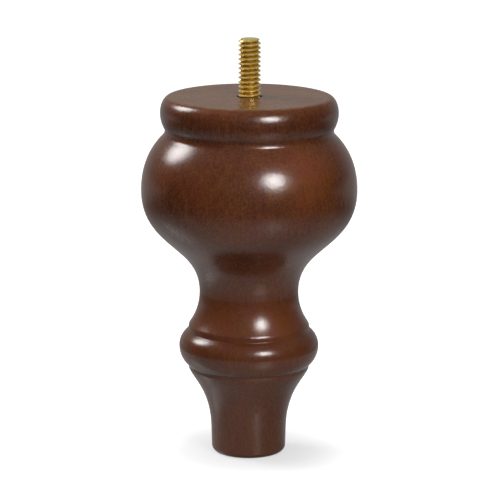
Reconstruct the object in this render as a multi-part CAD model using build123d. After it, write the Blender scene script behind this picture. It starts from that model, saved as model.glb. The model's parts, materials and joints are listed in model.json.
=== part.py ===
from build123d import *
from math import radians, tan
import os

# A turned furniture leg of stained hardwood, with a hanger bolt in its top.
# The leg stands on z = 0, its axis is Z, and every size is in millimetres.

# Heights of the turned sections, from the floor up
FOOT_HEIGHT = 6.8
COVE_HEIGHT = 17.65
LOWER_FILLET_HEIGHT = 0.9
RING_LOWER_HEIGHT = 5.4
RING_UPPER_HEIGHT = 4.6
UPPER_FILLET_HEIGHT = 1.55
FLARE_HEIGHT = 9.35
OGEE_HEIGHT = 29.05
SHOULDER_HEIGHT = 15.82
QUIRK_HEIGHT = 1.43
RIM_LOWER_HEIGHT = 4.5
RIM_UPPER_HEIGHT = 4.55

# Diameters, and how far a section stands in or out from the one beside it
FOOT_DIAMETER = 20.7
FOOT_TAPER = 0.2  # growth of the foot's radius from the floor up to the cove
FOOT_EDGE_RADIUS = 1.75
FILLET_DIAMETER = 33.88  # the two narrow fillets, above and below the ring
UPPER_FILLET_TAPER = 0.11  # growth of the upper fillet's radius from the flare down to the ring
RING_PROJECTION = 2.68
NECK_DIAMETER = 27.76
BULB_DIAMETER = 60.3
RIM_DIAMETER = 49.6
RIM_OVERHANG = 1.27  # the rim stands this far out from the quirk under it
RIM_ROUND_WIDTH = 2.6  # plan width of the rim's rounded top edge

# Reach of the free curves, along the direction in which each end leaves
COVE_FOOT_REACH = 10.8
COVE_TOP_IN = 1.3
COVE_TOP_DOWN = 3.2
NECK_REACH = 13.8
BULB_LOWER_REACH = 15.6
BULB_UPPER_REACH = 7.2
SHOULDER_OUT = 3.95
SHOULDER_DOWN = 3.55

# Sanded outer edges, and inner corners that the lacquer fills
ARRIS_RADIUS = 0.4
FLARE_ARRIS_RADIUS = 1.5
CREASE_RADIUS = 0.3
QUIRK_RADIUS = 2.0  # hollow between the quirk's wall and the bulb's shoulder

# Hanger bolt: a quarter inch machine thread above, a wood screw below
STUD_DIAMETER = 6.22
STUD_LENGTH = 16.1
STUD_CHAMFER = 0.55
THREAD_RUNOUT = 0.6
COLLAR_DIAMETER = 5.5
COLLAR_LENGTH = 3.0
COLLAR_TAPER = 0.5  # height of the cone from the collar down to the screw's core
SCREW_CORE_DIAMETER = 4.5
SCREW_LENGTH = 24.2
SCREW_POINT_LENGTH = 6.0
SCREW_TIP_DIAMETER = 0.4

# Blind hole in the top of the leg, drilled in two steps
MOUTH_CLEARANCE = 0.44  # all round the bolt's widest part
MOUTH_FLOOR_GAP = 0.4  # the wide mouth runs this far past the bolt's collar
PILOT_CLEARANCE = 0.05  # all round the screw's core
PILOT_TIP_GAP = 1.0  # room left under the screw's point
DRILL_POINT_ANGLE = 118.0

# Radii that follow from the sizes
foot_r = FOOT_DIAMETER / 2
fillet_r = FILLET_DIAMETER / 2
ring_r = fillet_r + RING_PROJECTION
neck_r = NECK_DIAMETER / 2
bulb_r = BULB_DIAMETER / 2
rim_r = RIM_DIAMETER / 2
quirk_r = rim_r - RIM_OVERHANG
top_face_r = rim_r - RIM_ROUND_WIDTH
stud_r = STUD_DIAMETER / 2
collar_r = COLLAR_DIAMETER / 2
core_r = SCREW_CORE_DIAMETER / 2
mouth_r = max(stud_r, collar_r) + MOUTH_CLEARANCE
pilot_r = core_r + PILOT_CLEARANCE

# Levels that follow from the sizes
cove_z = FOOT_HEIGHT
lower_fillet_z = cove_z + COVE_HEIGHT
ring_under_z = lower_fillet_z + LOWER_FILLET_HEIGHT
ring_z = ring_under_z + RING_LOWER_HEIGHT
upper_fillet_z = ring_z + RING_UPPER_HEIGHT
flare_z = upper_fillet_z + UPPER_FILLET_HEIGHT
neck_z = flare_z + FLARE_HEIGHT
bulb_z = neck_z + OGEE_HEIGHT
quirk_z = bulb_z + SHOULDER_HEIGHT
rim_under_z = quirk_z + QUIRK_HEIGHT
rim_z = rim_under_z + RIM_LOWER_HEIGHT
top_z = rim_z + RIM_UPPER_HEIGHT
stud_top_z = top_z + STUD_LENGTH
collar_top_z = top_z - THREAD_RUNOUT
collar_z = collar_top_z - COLLAR_LENGTH
core_top_z = collar_z - COLLAR_TAPER
tip_z = core_top_z - SCREW_LENGTH
mouth_z = core_top_z - MOUTH_FLOOR_GAP
pilot_z = tip_z - PILOT_TIP_GAP

UP = (0, 1)
DOWN = (0, -1)


def drill_point(radius):
    """Depth of the cone that a twist drill leaves, from the given radius to its axis."""
    return radius / tan(radians(DRILL_POINT_ANGLE / 2))


def turned_leg():
    """One piece of wood, turned between centres and drilled from the top."""
    foot_edge = (foot_r, 0)
    foot_top = (foot_r + FOOT_TAPER, cove_z)
    lower_fillet = (fillet_r, lower_fillet_z)
    ring_under = (fillet_r, ring_under_z)
    ring = (ring_r, ring_z)
    upper_fillet = (fillet_r + UPPER_FILLET_TAPER, upper_fillet_z)
    flare = (fillet_r, flare_z)
    neck = (neck_r, neck_z)
    bulb = (bulb_r, bulb_z)
    quirk = (quirk_r, quirk_z)
    rim_under = (quirk_r, rim_under_z)
    rim = (rim_r, rim_z)

    cove_lean = FOOT_TAPER / FOOT_HEIGHT * COVE_FOOT_REACH
    foot_handle = (foot_top[0] + cove_lean, cove_z + COVE_FOOT_REACH)
    cove_handle = (fillet_r - COVE_TOP_IN, lower_fillet_z - COVE_TOP_DOWN)
    neck_handle = (neck_r, neck_z + NECK_REACH)
    belly_handle = (bulb_r, bulb_z - BULB_LOWER_REACH)
    bulb_handle = (bulb_r, bulb_z + BULB_UPPER_REACH)
    shoulder_handle = (quirk_r + SHOULDER_OUT, quirk_z - SHOULDER_DOWN)

    # A corner's round is held back by the narrow band beside it
    soft_corners = [
        (foot_edge, FOOT_EDGE_RADIUS),
        (lower_fillet, min(ARRIS_RADIUS, LOWER_FILLET_HEIGHT / 2)),
        (ring_under, min(CREASE_RADIUS, LOWER_FILLET_HEIGHT / 2)),
        (upper_fillet, min(CREASE_RADIUS, UPPER_FILLET_HEIGHT / 2)),
        (flare, min(FLARE_ARRIS_RADIUS, UPPER_FILLET_HEIGHT)),
        (quirk, min(QUIRK_RADIUS, QUIRK_HEIGHT * 1.4)),
        (rim_under, min(CREASE_RADIUS, QUIRK_HEIGHT / 2)),
    ]

    with BuildPart() as leg:
        with BuildSketch(Plane.XZ) as half_section:
            with BuildLine():
                # Up the outside, from the floor to the top face
                Polyline((0, 0), foot_edge, foot_top)
                Bezier(foot_top, foot_handle, cove_handle, lower_fillet)
                Line(lower_fillet, ring_under)
                TangentArc(ring, ring_under, tangent=DOWN)
                TangentArc(ring, upper_fillet, tangent=UP)
                Line(upper_fillet, flare)
                TangentArc(neck, flare, tangent=DOWN)
                Bezier(neck, neck_handle, belly_handle, bulb)
                Bezier(bulb, bulb_handle, shoulder_handle, quirk)
                Line(quirk, rim_under)
                TangentArc(rim, rim_under, tangent=DOWN)
                EllipticalCenterArc((top_face_r, rim_z), RIM_ROUND_WIDTH, RIM_UPPER_HEIGHT, arc_size=90)
                # Across the top face, down the two steps of the hole and back along the axis
                Polyline(
                    (top_face_r, top_z),
                    (mouth_r, top_z),
                    (mouth_r, mouth_z),
                    (pilot_r, mouth_z - drill_point(mouth_r) + drill_point(pilot_r)),
                    (pilot_r, pilot_z),
                    (0, pilot_z - drill_point(pilot_r)),
                    (0, 0),
                )
            make_face()
            for corner, radius in soft_corners:
                fillet(half_section.vertices().sort_by_distance(corner)[0], radius)
        revolve(axis=Axis.Z)
    return leg.part


def hanger_bolt():
    """One rolled steel piece; its threads are drawn as plain walls, at their crest above and root below."""
    with BuildPart() as bolt:
        with BuildSketch(Plane.XZ):
            with BuildLine():
                Polyline(
                    (0, stud_top_z),
                    (stud_r - STUD_CHAMFER, stud_top_z),
                    (stud_r, stud_top_z - STUD_CHAMFER),
                    (stud_r, top_z),
                    (collar_r, collar_top_z),
                    (collar_r, collar_z),
                    (core_r, core_top_z),
                    (core_r, tip_z + SCREW_POINT_LENGTH),
                    (SCREW_TIP_DIAMETER / 2, tip_z),
                    (0, tip_z),
                    close=True,
                )
            make_face()
        revolve(axis=Axis.Z)
    return bolt.part


os.makedirs("parts", exist_ok=True)
export_step(turned_leg(), "parts/turned_leg.step")
export_step(hanger_bolt(), "parts/hanger_bolt.step")
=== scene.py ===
# %% [markdown]
# # A turned furniture leg
# This lesson dresses a small turned leg: a vase-shaped piece of stained hardwood with a plated bolt in
# its top. The solids come from the packed frame, so their places and sizes are already right, and the
# outline of the wood is left as it is. What is added here is the finish: lacquered wood, real threads on
# the bolt, and a plain white studio.

# %% Load the frame
import json
from math import hypot, pi, radians

import bmesh
import bpy
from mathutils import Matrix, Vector

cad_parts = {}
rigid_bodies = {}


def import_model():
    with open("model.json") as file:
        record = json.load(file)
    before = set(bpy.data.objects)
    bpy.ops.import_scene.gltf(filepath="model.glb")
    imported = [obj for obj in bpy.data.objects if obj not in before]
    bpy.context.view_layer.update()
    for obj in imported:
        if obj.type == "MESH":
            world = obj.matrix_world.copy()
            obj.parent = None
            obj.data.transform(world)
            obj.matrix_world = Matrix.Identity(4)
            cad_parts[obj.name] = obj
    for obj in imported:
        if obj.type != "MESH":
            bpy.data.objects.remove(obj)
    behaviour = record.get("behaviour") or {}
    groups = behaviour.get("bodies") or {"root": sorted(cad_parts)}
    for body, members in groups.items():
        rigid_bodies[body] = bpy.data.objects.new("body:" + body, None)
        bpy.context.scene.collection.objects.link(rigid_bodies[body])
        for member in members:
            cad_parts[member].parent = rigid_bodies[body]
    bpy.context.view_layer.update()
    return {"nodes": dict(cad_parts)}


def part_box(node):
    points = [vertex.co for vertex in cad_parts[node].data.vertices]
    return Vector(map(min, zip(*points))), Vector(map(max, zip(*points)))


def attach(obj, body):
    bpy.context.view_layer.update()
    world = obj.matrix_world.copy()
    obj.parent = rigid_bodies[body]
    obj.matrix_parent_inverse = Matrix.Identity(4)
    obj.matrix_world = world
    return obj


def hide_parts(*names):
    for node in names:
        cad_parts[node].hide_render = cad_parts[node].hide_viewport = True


for leftover in list(bpy.data.objects):
    bpy.data.objects.remove(leftover)

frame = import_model()
leg_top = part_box("turned_leg")[1].z
bolt_low, bolt_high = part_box("hanger_bolt")
MM = 0.001
print("the stud stands out", round((bolt_high.z - leg_top) / MM, 2), "mm")

# %% [markdown]
# ## Shader sums in plain Python
# A procedural finish is mostly arithmetic on patterns, and wiring each Math node by hand hides the idea.
# This small class wraps one socket of a node tree. A sum, difference or product of wrapped sockets adds
# the Math node for it, and every other kind of node comes from one method, `node`.

# %% A socket that takes part in sums
class Pattern:
    """One output of a node tree. Arithmetic on it adds Math nodes to the tree."""

    def __init__(self, tree, output=None):
        self.tree = tree
        self.output = output

    def node(self, kind, settings=None, inputs=None, output=0):
        """Adds a node of a kind, with its settings first and then the values or links of its sockets."""
        made = self.tree.nodes.new(kind)
        for name, value in (settings or {}).items():
            setattr(made, name, value)
        for name, value in (inputs or {}).items():
            if isinstance(value, Pattern):
                self.tree.links.new(value.output, made.inputs[name])
            else:
                made.inputs[name].default_value = value
        return Pattern(self.tree, made.outputs[output] if made.outputs else None)

    def maths(self, operation, *values):
        return self.node("ShaderNodeMath", {"operation": operation}, dict(enumerate(values)))

    def __add__(self, other):
        return self.maths("ADD", self, other)

    def __radd__(self, other):
        return self.maths("ADD", other, self)

    def __sub__(self, other):
        return self.maths("SUBTRACT", self, other)

    def __rsub__(self, other):
        return self.maths("SUBTRACT", other, self)

    def __mul__(self, other):
        return self.maths("MULTIPLY", self, other)

    def __rmul__(self, other):
        return self.maths("MULTIPLY", other, self)

    def axis(self, number):
        """One of a vector's three parts: 0, 1 or 2 for x, y or z."""
        return self.node("ShaderNodeSeparateXYZ", {}, {"Vector": self}, output=number)

    def between(self, low, high):
        """0 below low, 1 above high, and a smooth rise from one to the other."""
        settings = {"interpolation_type": "SMOOTHSTEP"}
        return self.node("ShaderNodeMapRange", settings, {"Value": self, "From Min": low, "From Max": high})

    def tint(self, first, second):
        """The first colour where this is 0, the second where it is 1."""
        return self.node("ShaderNodeMix", {"data_type": "RGBA"}, {0: self, 6: first, 7: second}, output=2)


def new_tree(owner):
    """An empty node tree for a material or the world."""
    owner.use_nodes = True
    owner.node_tree.nodes.clear()
    return Pattern(owner.node_tree)


print("patterns take part in sums:", sorted(name for name in vars(Pattern) if name.startswith("__r")))

# %% [markdown]
# ## Stained and lacquered hardwood
# The real leg is a pale, close-grained hardwood, stained a reddish brown and sprayed with a satin
# lacquer. A picture wrapped round it would show a seam and wrong end grain. A solid pattern doesn't,
# because every point of the wood has its own value in three dimensions: noise that is drawn out along the
# leg makes streaks on the sides and dots on the sawn top. The stain runs between a deep brown, where the
# wood drank more of it, and two paler ones.

# %% Colours of the stain
def colour(red, green, blue):
    return (red, green, blue, 1.0)


WOOD_DEEP = colour(0.045, 0.0112, 0.0034)
WOOD_RED = colour(0.150, 0.0395, 0.0150)
WOOD_GOLD = colour(0.150, 0.0450, 0.0105)
# The sawn top's colour, painted paler than the sides for the light that it catches
WOOD_END_LIT = colour(0.145, 0.0640, 0.0270)
print("deepest stain", WOOD_DEEP[:3], "palest", WOOD_GOLD[:3])

# %% Noise along the grain
# Each kind of noise: its size, how it is drawn out along x, y and z where that is below 1, and its detail
FIBRES = (0.50 * MM, (1, 1, 0.06), 2.0)
SPECKS = (0.42 * MM, (1, 1, 0.7), 1.0)
PORES = (0.22 * MM, (1, 1, 0.07), 1.0)
MOTTLE = (1.1 * MM, (1, 1, 0.5), 1.0)
RAYS = (2.2 * MM, (0.3, 1, 1), 2.0)
HUES = (5 * MM, (1, 1, 0.6), 2.0)
CLOUDS = (10.5 * MM, (1, 1, 0.6), 1.0)
RIPPLE = (0.55 * MM, (1, 1, 0.6), 1.0)
NOISE_MIDDLE = 0.5


def noise(place, size, stretch, detail, shift=(0, 0, 0)):
    """Solid noise between 0 and 1 on Object coordinates."""
    scale = [part / size for part in stretch]
    moved = place.node("ShaderNodeMapping", {}, {"Vector": place, "Location": shift, "Scale": scale})
    return place.node("ShaderNodeTexNoise", {}, {"Vector": moved, "Scale": 1.0, "Detail": detail})


print("fibres", round(FIBRES[0] / MM, 2), "mm wide, pores", round(PORES[0] / MM, 2), "mm")

# %% [markdown]
# ## Where the stain lies, and painted light on the flare
# Stain never takes evenly on turned work: broad clouds vary it, with a few soft patches on the side that
# faces the camera. The tone is also made darker across the rim. The flare above the ring faces up, so it is
# painted paler for the extra light that falls on it: painted light. One number carries all of this, so that
# the colours are mixed only once, further down.

# %% Tone of the stain, with painted light on the flare
MIDDLE_TONE = 0.455
CLOUD_SHIFT = (14.8, 5.7, 37.2)
CLOUD_GAIN = 0.55
# The soft lower and upper edges of the two bands, from one height to the other
RIM_FOOT = (leg_top - 9.8 * MM, leg_top - 8.8 * MM)
RIM_TOP = (leg_top - 4.1 * MM, leg_top - 0.6 * MM)
# How much darker the tone is made across the rim
RIM_DARKER = 0.18
FLARE_FOOT = (36.6 * MM, 37.4 * MM)
FLARE_TOP = (41.0 * MM, 48.0 * MM)
# The flare faces up, so its tone is painted paler here for the light that falls on it
FLARE_PAINTED_LIGHT = 0.20
# The even middle of a patch, as a share of its size
PATCH_CORE = 0.2
# Each patch: its place and size in mm, then how much paler it is, or deeper below 0
PATCHES = [
    ((16, -24, 84), 14, 0.30),
    ((11, -12, 38), 11, 0.20),
    ((-22, -21, 74), 10, -0.14),
    ((-4, -22, 61), 10, -0.14),
    ((-12, -15, 29), 7, -0.14),
    ((-13, -16, 59), 7, 0.18),
]


def stain_and_light_tone(place):
    """0 for the darkest tone and 1 for the palest, with painted light on the flare."""
    level = place.axis(2)
    rim = level.between(*RIM_FOOT) - level.between(*RIM_TOP)
    # The flare band, where painted light makes the tone paler
    flare = level.between(*FLARE_FOOT) - level.between(*FLARE_TOP)
    clouds = noise(place, *CLOUDS, CLOUD_SHIFT) - NOISE_MIDDLE
    tone = MIDDLE_TONE + flare * FLARE_PAINTED_LIGHT - rim * RIM_DARKER + clouds * CLOUD_GAIN
    for centre, size, change in PATCHES:
        ends = {0: place, 1: [part * MM for part in centre]}
        away = place.node("ShaderNodeVectorMath", {"operation": "DISTANCE"}, ends, output="Value")
        tone = tone + (1 - away.between(PATCH_CORE * size * MM, size * MM)) * change
    return tone


print("stain patches:", len(PATCHES))

# %% [markdown]
# ## One surface for the whole leg
# Fine specks, mottle and fibres break the tone up, as the small vessels of the wood do. The lacquer is one
# clear, smooth layer, so a single gloss with a low roughness stands for it, and a very shallow bump gives
# the highlights the slightly broken edge of sprayed lacquer. The sawn top is a little rougher than the
# sides, and its colour is painted paler, standing in for the light that it catches.

# %% Strength of the grain
SAWN_TOP = (leg_top - 0.4 * MM, leg_top - 0.1 * MM)
# How much paler the sawn top is painted, standing in for the light that it catches
TOP_PAINTED_LIGHT = 0.30
RAY_GAIN = 0.8
SPECK_GAIN = 1.10
MOTTLE_GAIN = 0.50
FIBRE_GAIN = 0.35
# The grain shows more from the bulb up
BULB_RISE = (62 * MM, 70 * MM)
GRAIN_BELOW = 0.65
GRAIN_MORE = 0.40
PORE_EDGE = (0.60, 0.72)
PORE_DEPTH = 0.25
HUE_EDGE = (0.36, 0.64)
print("grain", GRAIN_BELOW, "below the bulb and", GRAIN_BELOW + GRAIN_MORE, "from it up")

# %% Stained wood
LACQUER_IOR = 1.54
LACQUER_ROUGHNESS = 0.23
FIBRE_ROUGHNESS = 0.06
TOP_ROUGHNESS = 0.06
RAY_ROUGHNESS = 0.25
RIPPLE_HEIGHT = 0.026 * MM


def stained_wood():
    material = bpy.data.materials.new("lacquered_wood")
    tree = new_tree(material)
    place = tree.node("ShaderNodeTexCoord", output="Object")
    level = place.axis(2)
    top = level.between(*SAWN_TOP)
    upper = level.between(*BULB_RISE)
    fibres = noise(place, *FIBRES) - NOISE_MIDDLE
    specks = noise(place, *SPECKS) - NOISE_MIDDLE
    mottle = noise(place, *MOTTLE) - NOISE_MIDDLE
    rays = noise(place, *RAYS) - NOISE_MIDDLE
    pores = noise(place, *PORES).between(*PORE_EDGE)
    hue = noise(place, *HUES).between(*HUE_EDGE)

    grain = specks * SPECK_GAIN + mottle * MOTTLE_GAIN + fibres * FIBRE_GAIN
    grain = grain * (GRAIN_BELOW + upper * GRAIN_MORE)
    # The tone carries painted light: the sawn top is painted paler here, and so is the flare
    tone = stain_and_light_tone(place) + grain + top * (TOP_PAINTED_LIGHT + rays * RAY_GAIN)
    pale = top.tint(hue.tint(WOOD_RED, WOOD_GOLD), WOOD_END_LIT)
    stained = tone.tint(WOOD_DEEP, pale)
    flecked = (pores * PORE_DEPTH).tint(stained, WOOD_DEEP)
    top_roughness = TOP_ROUGHNESS + rays * RAY_ROUGHNESS
    roughness = LACQUER_ROUGHNESS + fibres * FIBRE_ROUGHNESS + top * top_roughness
    ripple = {"Height": noise(place, *RIPPLE), "Distance": RIPPLE_HEIGHT, "Strength": 1.0}
    bump = tree.node("ShaderNodeBump", {}, ripple)
    inputs = {"Base Color": flecked, "Roughness": roughness, "Normal": bump, "IOR": LACQUER_IOR}
    surface = tree.node("ShaderNodeBsdfPrincipled", {}, inputs)
    tree.node("ShaderNodeOutputMaterial", {}, {"Surface": surface})
    return material


leg = frame["nodes"]["turned_leg"]
leg.data.materials[0] = stained_wood()
print(leg.name, "has", len(leg.data.materials[0].node_tree.nodes), "shader nodes")

# %% [markdown]
# ## Real threads
# A hanger bolt has two threads on one shank: a machine thread that stands out of the leg, and a wood
# screw that holds it in the leg. A thread is an outline one pitch tall that turns and climbs at once, so
# `spin` makes it, with a small rise for each step. The turns meet edge to edge and are merged, and both
# ends are cut flat, so each thread is one skin. A last pass over its points lets the thread fade into the
# collar and run to a point.

# %% Screw skins
STEPS_PER_TURN = 40
SPARE_TURNS = 3
MERGE_DISTANCE = 0.002 * MM
CUT_TOLERANCE = 0.0005 * MM


def ramp(value, low, high):
    """0 at low, 1 at high, straight between."""
    return min(max((value - low) / (high - low), 0.0), 1.0)


def screw_skin(name, outline, pitch, bottom, top, wanted):
    """Spins an outline of radius and height up the axis, trims it and sets each point's radius."""
    shape = bmesh.new()
    corners = [shape.verts.new((radius, 0, bottom - pitch + height)) for radius, height in outline]
    for pair in zip(corners, corners[1:]):
        shape.edges.new(pair)
    bmesh.ops.subdivide_edges(shape, edges=shape.edges[:], cuts=1)
    turns = int((top - bottom) / pitch) + SPARE_TURNS
    bmesh.ops.spin(shape, geom=shape.verts[:] + shape.edges[:], axis=(0, 0, 1), cent=(0, 0, 0),
                   dvec=(0, 0, pitch / STEPS_PER_TURN), angle=2 * pi * turns, steps=STEPS_PER_TURN * turns)
    bmesh.ops.remove_doubles(shape, verts=shape.verts[:], dist=MERGE_DISTANCE)
    for height, above in ((bottom, False), (top, True)):
        everything = shape.verts[:] + shape.edges[:] + shape.faces[:]
        bmesh.ops.bisect_plane(shape, geom=everything, dist=CUT_TOLERANCE, plane_co=(0, 0, height),
                               plane_no=(0, 0, 1), clear_outer=above, clear_inner=not above)
    for vert in shape.verts:
        radius = hypot(vert.co.x, vert.co.y)
        stretch = wanted(radius, vert.co.z) / radius
        vert.co.x *= stretch
        vert.co.y *= stretch
    skin = bpy.data.meshes.new(name)
    shape.to_mesh(skin)
    shape.free()
    print(name, "has", len(skin.polygons), "faces over", turns, "turns")
    return skin


# %% Machine thread
CREST = bolt_high.x
ROOT = 2.42 * MM
PITCH = 1.27 * MM
ROOT_FLAT = 0.16 * MM
CREST_FLAT = 0.10 * MM
END_CHAMFER = 0.55 * MM
COLLAR = 2.75 * MM
COLLAR_FOOT = leg_top - 3.6 * MM
RUNOUT_TOP = leg_top - 0.2 * MM
RUNOUT_FOOT = leg_top - 1.1 * MM


def stud_radius(radius, height):
    """The thread fades into the plain collar inside the hole, and the end has a chamfer."""
    threaded = COLLAR + (radius - COLLAR) * ramp(height, RUNOUT_FOOT, RUNOUT_TOP)
    return min(threaded, CREST - END_CHAMFER + bolt_high.z - height)


stud_outline = [(ROOT, 0), (ROOT, ROOT_FLAT), (CREST, PITCH / 2 - CREST_FLAT),
                (CREST, PITCH / 2 + CREST_FLAT), (ROOT, PITCH - ROOT_FLAT), (ROOT, PITCH)]
stud = screw_skin("stud", stud_outline, PITCH, COLLAR_FOOT, bolt_high.z, stud_radius)

# %% Wood screw below it
CORE = 2.25 * MM
CORE_TOP = COLLAR_FOOT - 0.5 * MM
SCREW_CREST = 2.95 * MM
SCREW_PITCH = 2.54 * MM
SCREW_FLANK = 0.42 * MM
POINT_TOP = bolt_low.z + 6.0 * MM
POINT_RADIUS = 0.2 * MM
# The thread is gone this near under the collar, and at full height this far from it
SCREW_FADE = (0.2 * MM, 2.4 * MM)


def screw_radius(radius, height):
    """The core runs to a point, and the thread fades out there and under the collar."""
    point = ramp(height, bolt_low.z, POINT_TOP)
    fade = point * ramp(CORE_TOP - height, *SCREW_FADE)
    return POINT_RADIUS + (CORE - POINT_RADIUS) * point + (radius - CORE) * fade


screw_outline = [(CORE, 0), (CORE, SCREW_PITCH / 2 - SCREW_FLANK), (SCREW_CREST, SCREW_PITCH / 2),
                 (CORE, SCREW_PITCH / 2 + SCREW_FLANK), (CORE, SCREW_PITCH)]
screw = screw_skin("wood_screw", screw_outline, SCREW_PITCH, bolt_low.z, CORE_TOP, screw_radius)

# %% [markdown]
# ## Yellow zinc on the bolt
# The bolt is steel, plated with zinc and dipped in a passivate that leaves a thin gold film. The film is a
# little cloudy. The colour follows the distance from the axis: darker and browner in the roots of the
# thread than on the crests, with a colour of its own on the cut end. A metal shows its colour in what it
# mirrors. Here it is not wholly metallic, because the satin film also scatters some light, and that keeps
# the shaded flanks gold.

# %% Plated steel
PLATE_ROOT = colour(0.48, 0.265, 0.020)
PLATE_GOLD = colour(1.0, 0.71, 0.16)
PLATE_PALE = colour(1.0, 0.81, 0.33)
PLATE_END = colour(0.70, 0.58, 0.18)
PLATE_CLOUDS = (1.1 * MM, (1, 1, 1), 2.0)
CLOUD_EDGE = (0.35, 0.65)
CUT_END = (bolt_high.z - 0.6 * MM, bolt_high.z - 0.2 * MM)
ROOT_TO_CREST = (ROOT, CREST - 0.1 * MM)
PLATE_METALLIC = 0.66
PLATE_ROUGHNESS = 0.20
CLOUD_ROUGHNESS = 0.1


def plated_steel():
    material = bpy.data.materials.new("zinc_plate")
    tree = new_tree(material)
    place = tree.node("ShaderNodeTexCoord", output="Object")
    cloud = noise(place, *PLATE_CLOUDS)
    end = place.axis(2).between(*CUT_END)
    across = place.node("ShaderNodeVectorMath", {"operation": "MULTIPLY"}, {0: place, 1: (1, 1, 0)})
    radius = place.node("ShaderNodeVectorMath", {"operation": "LENGTH"}, {0: across}, output="Value")
    film = cloud.between(*CLOUD_EDGE).tint(PLATE_GOLD, PLATE_PALE)
    base = end.tint(radius.between(*ROOT_TO_CREST).tint(PLATE_ROOT, film), PLATE_END)
    roughness = PLATE_ROUGHNESS + cloud * CLOUD_ROUGHNESS
    inputs = {"Base Color": base, "Roughness": roughness, "Metallic": PLATE_METALLIC}
    surface = tree.node("ShaderNodeBsdfPrincipled", {}, inputs)
    tree.node("ShaderNodeOutputMaterial", {}, {"Surface": surface})
    print(material.name, "has", len(material.node_tree.nodes), "shader nodes")
    return material


# %% One bolt from both threads
NEAR = 0.01 * MM
SHARP_ANGLE = radians(38)


def rim_at(shape, height):
    """The open edges at a height."""
    return [edge for edge in shape.edges if edge.is_boundary and
            all(abs(vert.co.z - height) < NEAR for vert in edge.verts)]


bolt_shape = bmesh.new()
for skin in (stud, screw):
    bolt_shape.from_mesh(skin)
    bpy.data.meshes.remove(skin)
bmesh.ops.bridge_loops(bolt_shape, edges=rim_at(bolt_shape, COLLAR_FOOT) + rim_at(bolt_shape, CORE_TOP))
for end in (bolt_low.z, bolt_high.z):
    bmesh.ops.edgenet_fill(bolt_shape, edges=rim_at(bolt_shape, end))
bmesh.ops.recalc_face_normals(bolt_shape, faces=bolt_shape.faces[:])
open_edges = sum(not edge.is_manifold for edge in bolt_shape.edges)
for face in bolt_shape.faces:
    face.smooth = True
bolt_mesh = bpy.data.meshes.new("threaded_bolt")
bolt_shape.to_mesh(bolt_mesh)
bolt_shape.free()
bolt_mesh.set_sharp_from_angle(angle=SHARP_ANGLE)
print("bolt:", len(bolt_mesh.polygons), "faces,", open_edges, "open edges")

# %% The bolt takes the plain one's place
bolt = bpy.data.objects.new("threaded_bolt", bolt_mesh)
bpy.context.scene.collection.objects.link(bolt)
bolt_mesh.materials.append(plated_steel())
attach(bolt, "root")
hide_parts("hanger_bolt")
print(bolt.name, "in mm:", [round(side / MM, 2) for side in bolt.dimensions])

# %% [markdown]
# ## A white floor
# The leg stands on white paper. To the camera the paper glows, fully white from a few centimetres out and
# less close by, so that the leg's soft shadow shows there. What the lacquer mirrors is set apart from that,
# as a painted reflection: a glow that only reflections show is faint grey near the leg and brighter far
# behind it, which draws the pale line round the leg's outline. Out of the camera's view, the paper's colour
# is painted paler near the leg and darker far out, a painted pool of light round it.

# %% White paper
GLOW_NEAR = 0.57
# Glow that only reflections show, a painted reflection: faint near the leg, brighter far behind it
GLOW_MIRRORED = 0.10
GLOW_MIRRORED_BEHIND = 0.33
BLACK = colour(0, 0, 0)
WHITE = colour(1, 1, 1)
PAPER_SEEN = colour(0.35, 0.35, 0.35)
# Painted pool of light: out of the camera's view the paper is paler near the leg and darker far out
PAPER_LIT_NEAR = colour(0.32, 0.32, 0.32)
PAPER_DIM_FAR = colour(0.08, 0.08, 0.08)
PAPER_SHEEN = 0.08
SHEEN_ROUGHNESS = 0.3
# Distances in metres over which the paper changes: close to the leg, further out, and behind it
BESIDE = (0.012, 0.044)
AWAY = (0.08, 0.26)
BEHIND = (0.06, 0.36)


def ray_kinds(tree):
    """1 where the camera looks straight at this, and 1 where a mirror or a clear piece shows it."""
    seen = tree.node("ShaderNodeLightPath", output="Is Camera Ray")
    mirrored = tree.node("ShaderNodeLightPath", output="Is Glossy Ray")
    passed = tree.node("ShaderNodeLightPath", output="Is Transmission Ray")
    return seen, mirrored + passed


def white_paper():
    material = bpy.data.materials.new("white_paper")
    tree = new_tree(material)
    seen, shown = ray_kinds(tree)
    place = tree.node("ShaderNodeTexCoord", output="Object")
    distance = tree.node("ShaderNodeVectorMath", {"operation": "LENGTH"}, {0: place}, output="Value")
    beside = distance.between(*BESIDE)
    away = distance.between(*AWAY)
    behind = place.axis(1).between(*BEHIND)
    near_glow = GLOW_NEAR + beside * (1 - GLOW_NEAR)
    mirror_glow = (1 - away) * GLOW_MIRRORED + behind * GLOW_MIRRORED_BEHIND
    glow = seen * near_glow + shown * mirror_glow
    sheet_with_light_pool = seen.tint(away.tint(PAPER_LIT_NEAR, PAPER_DIM_FAR), PAPER_SEEN)
    paper = tree.node("ShaderNodeBsdfDiffuse", {}, {"Color": sheet_with_light_pool})
    sheen = tree.node("ShaderNodeBsdfGlossy", {}, {"Color": WHITE, "Roughness": SHEEN_ROUGHNESS})
    surface = tree.node("ShaderNodeMixShader", {}, {0: (1 - seen) * PAPER_SHEEN, 1: paper, 2: sheen})
    white = tree.node("ShaderNodeEmission", {}, {"Color": glow.tint(BLACK, WHITE), "Strength": 1.0})
    both = tree.node("ShaderNodeAddShader", {}, {0: surface, 1: white})
    tree.node("ShaderNodeOutputMaterial", {}, {"Surface": both})
    return material


# %% Floor
FLOOR_RADIUS = 3.2
FLOOR_SIDES = 96

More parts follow.
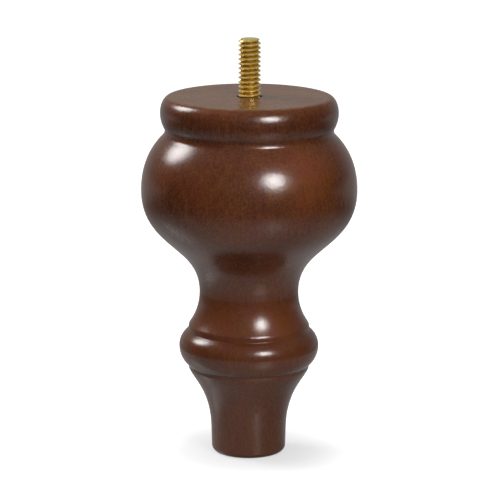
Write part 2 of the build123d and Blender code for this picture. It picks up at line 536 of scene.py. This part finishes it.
floor_shape = bmesh.new()
bmesh.ops.create_circle(floor_shape, cap_ends=True, segments=FLOOR_SIDES, radius=FLOOR_RADIUS)
floor_mesh = bpy.data.meshes.new("floor")
floor_shape.to_mesh(floor_mesh)
floor_shape.free()
floor = bpy.data.objects.new("floor", floor_mesh)
bpy.context.scene.collection.objects.link(floor)
floor_mesh.materials.append(white_paper())
print("floor", 2 * FLOOR_RADIUS, "m across")

# %% [markdown]
# ## The room
# The camera sees plain white behind the leg. The lacquer sees a dim room instead: dark in front and low
# down, lighter overhead, and lightest behind, where the white backdrop hangs. Without that difference,
# gloss on dark wood would look like grey fog.

# %% Room
ROOM_LOW = 0.03
ROOM_HIGH = 0.16
BEHIND_LOW = 0.30
BEHIND_HIGH = 0.16
BACKDROP = 0.08
# Where the room changes, as parts of a direction: up for the first two, and to the back for the others
FRONT_RISE = (0.0, 0.85)
BEHIND_RISE = (0.0, 0.6)
TO_BACK = (0.1, 0.95)
TO_BACKDROP = (0.5, 1.0)

world = bpy.data.worlds.new("studio_room")
bpy.context.scene.world = world
room = new_tree(world)
seen, shown = ray_kinds(room)
view = room.node("ShaderNodeTexCoord", output="Generated")
depth = view.axis(1)
height = view.axis(2)
front = ROOM_LOW + height.between(*FRONT_RISE) * (ROOM_HIGH - ROOM_LOW)
behind = BEHIND_LOW + height.between(*BEHIND_RISE) * (BEHIND_HIGH - BEHIND_LOW)
level = front + depth.between(*TO_BACK) * (behind - front)
strength = seen + shown * depth.between(*TO_BACKDROP) * BACKDROP + (1 - seen) * level
background = room.node("ShaderNodeBackground", {}, {"Color": WHITE, "Strength": strength})
room.node("ShaderNodeOutputWorld", {}, {"Surface": background})
print("room from", ROOM_LOW, "in front to", BEHIND_LOW + BACKDROP, "behind")

# %% [markdown]
# ## Lights
# One softbox on the right in front makes the round highlights. A second one just behind it only adds to
# their gloss. One on the left, further back, makes the paler highlights on the other side. Two broad
# lamps, overhead and in front, lift the wood's own colour to a plain level. They are left out of
# reflections, because a real room spreads that light over all its walls.

# %% Softboxes
LIGHT_AIM = Vector((0, 0, 0.06))
NARROW = radians(60)
WIDE = radians(160)


def softbox(name, place, size, spread, power):
    """An oval area light that looks at the leg, and that the camera doesn't see."""
    lamp = bpy.data.lights.new(name, "AREA")
    lamp.shape = "ELLIPSE"
    lamp.size, lamp.size_y = size
    lamp.spread = spread
    lamp.energy = power
    box = bpy.data.objects.new(name, lamp)
    box.location = place
    box.rotation_euler = (LIGHT_AIM - place).to_track_quat("-Z", "Y").to_euler()
    box.visible_camera = False
    bpy.context.scene.collection.objects.link(box)
    print(name, "at", [round(part, 3) for part in place], "with", power, "W")
    return box


KEY_PLACE = Vector((0.200, -0.375, 0.284))
KEY_SIZE = (0.175, 0.18)
JUST_BEHIND = 1.02
softbox("key_light", KEY_PLACE, KEY_SIZE, NARROW, 0.12)
glint = softbox("key_glint", KEY_PLACE * JUST_BEHIND, KEY_SIZE, NARROW, 0.09)
glint.visible_diffuse = False
softbox("left_light", Vector((-0.411, 0.183, 0.40)), (0.25, 0.25), NARROW, 0.23)
ceiling = softbox("ceiling_light", Vector((-0.1, 0.0, 1.0)), (1.1, 1.1), WIDE, 5.2)
ceiling.visible_glossy = False
front_fill = softbox("front_light", Vector((-0.1, -1.1, 0.35)), (0.9, 0.9), WIDE, 3.3)
front_fill.visible_glossy = False

# %% [markdown]
# ## Camera
# The leg was photographed from a little above, with a long lens, so its upright lines stay nearly
# parallel. The camera also leans by a fraction of a degree, as one held by hand does.

# %% Camera
CAMERA_PITCH = radians(12.583)
CAMERA_ROLL = radians(0.153)
CAMERA_TURN = radians(0.0145)
CAMERA_PLACE = (0, -0.7734, 0.23066)
SENSOR_WIDTH = 36.0
LENS = 203.78

camera_data = bpy.data.cameras.new("camera")
camera_data.sensor_fit = "HORIZONTAL"
camera_data.sensor_width = SENSOR_WIDTH
camera_data.lens = LENS
camera = bpy.data.objects.new("camera", camera_data)
camera.location = CAMERA_PLACE
camera.rotation_euler = (pi / 2 - CAMERA_PITCH, -CAMERA_ROLL, CAMERA_TURN)
bpy.context.scene.collection.objects.link(camera)
bpy.context.scene.camera = camera
bpy.context.scene.view_settings.view_transform = "Standard"
print("camera", round(camera.location.length, 3), "m away, lens", LENS, "mm")

# %% [markdown]
# The dressed leg has to stay inside the box of its solids.
